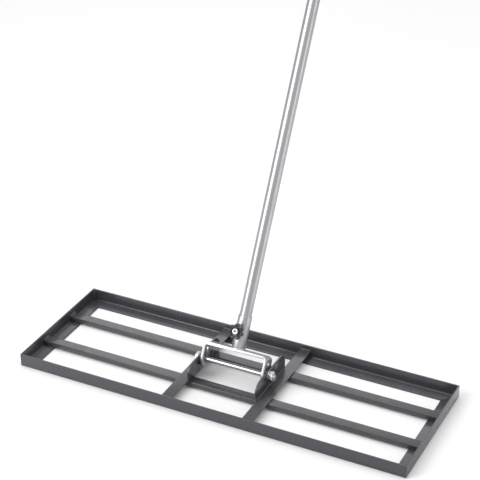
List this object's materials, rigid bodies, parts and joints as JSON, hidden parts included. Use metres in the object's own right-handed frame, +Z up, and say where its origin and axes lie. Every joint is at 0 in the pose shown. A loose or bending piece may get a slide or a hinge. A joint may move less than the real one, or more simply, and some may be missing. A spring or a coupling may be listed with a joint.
{
  "type": "lawn levelling rake",
  "caption": "Flat rectangular steel levelling frame with inner bars, dragged by a long sectional pole on a tilting yoke with a star-knob clamp.",
  "frame": {"origin": "centre of the frame's rectangular footprint, on the ground plane that its bottom flanges rest on", "axes": "+X along the frame's length, +Y to the rear, the side towards which the pole leans, +Z up"},
  "size_m": [0.762, 1.0995, 1.8212],
  "materials": {
    "frame_paint": "semi-gloss powder coat",
    "zinc_plate": "bright zinc plate",
    "tube_steel": "drawn and zinc plated tube",
    "spring_steel": "plain steel",
    "pad_brass": "turned",
    "knob_plastic": "moulded, glossy",
    "grip_rubber": "moulded, matte"
  },
  "bodies": {
    "frame": {"front_rail": "frame_paint", "rear_rail": "frame_paint", "left_end_rail": "frame_paint", "right_end_rail": "frame_paint", "front_inner_bar": "frame_paint", "rear_inner_bar": "frame_paint", "left_cross_bar": "frame_paint", "right_cross_bar": "frame_paint", "left_pivot_plate": "frame_paint", "right_pivot_plate": "frame_paint", "corner_welds": "frame_paint", "bar_end_welds": "frame_paint", "cross_bar_welds": "frame_paint", "plate_welds": "frame_paint", "pivot_bolt": "zinc_plate", "pivot_nut": "zinc_plate", "outer_washers": "zinc_plate", "inner_washers": "zinc_plate"},
    "yoke": {"yoke": "zinc_plate", "handle_socket": "tube_steel", "socket_weld": "zinc_plate", "clamp_nut": "zinc_plate"},
    "clamp_pad": {"clamp_pad": "pad_brass"},
    "clamp_knob": {"star_knob": "knob_plastic", "clamp_screw": "spring_steel", "knob_insert": "zinc_plate"},
    "pole": {"lower_tube": "tube_steel", "middle_tube": "tube_steel", "upper_tube": "tube_steel", "hand_grip": "grip_rubber", "lower_clip_spring": "spring_steel", "upper_clip_spring": "spring_steel"},
    "lower_button": {"lower_button": "spring_steel"},
    "upper_button": {"upper_button": "spring_steel"}
  },
  "joints": [
    {"name": "yoke_tilt", "type": "hinge", "parent": "frame", "child": "yoke", "pos_m": [0, -0.008, 0.037], "axis": [1, 0, 0], "range_deg": [-60, 105]},
    {"name": "clamp_travel", "type": "slide", "parent": "yoke", "child": "clamp_pad", "axis": [0, -0.8788, 0.4772], "range_m": [0, 0.0025]},
    {"name": "knob_turn", "type": "hinge", "parent": "clamp_pad", "child": "clamp_knob", "pos_m": [0, 0.00152, 0.10693], "axis": [0, -0.8788, 0.4772], "range_deg": [0, 722]},
    {"name": "pole_slide", "type": "slide", "parent": "yoke", "child": "pole", "axis": [0, 0.4772, 0.8788], "range_m": [0, 0.05]},
    {"name": "lower_button_press", "type": "slide", "parent": "pole", "child": "lower_button", "axis": [0, 0.8788, -0.4772], "range_m": [0, 0.0025], "stiffness_N_per_m": 1200, "springref_m": -0.001, "deforming": ["lower_clip_spring"]},
    {"name": "upper_button_press", "type": "slide", "parent": "pole", "child": "upper_button", "axis": [0, 0.8788, -0.4772], "range_m": [0, 0.0025], "stiffness_N_per_m": 1200, "springref_m": -0.001, "deforming": ["upper_clip_spring"]}
  ],
  "couplings": [
    {"joint": "knob_turn", "follows": "clamp_travel", "rad_per_m": 5026.5}
  ]
}
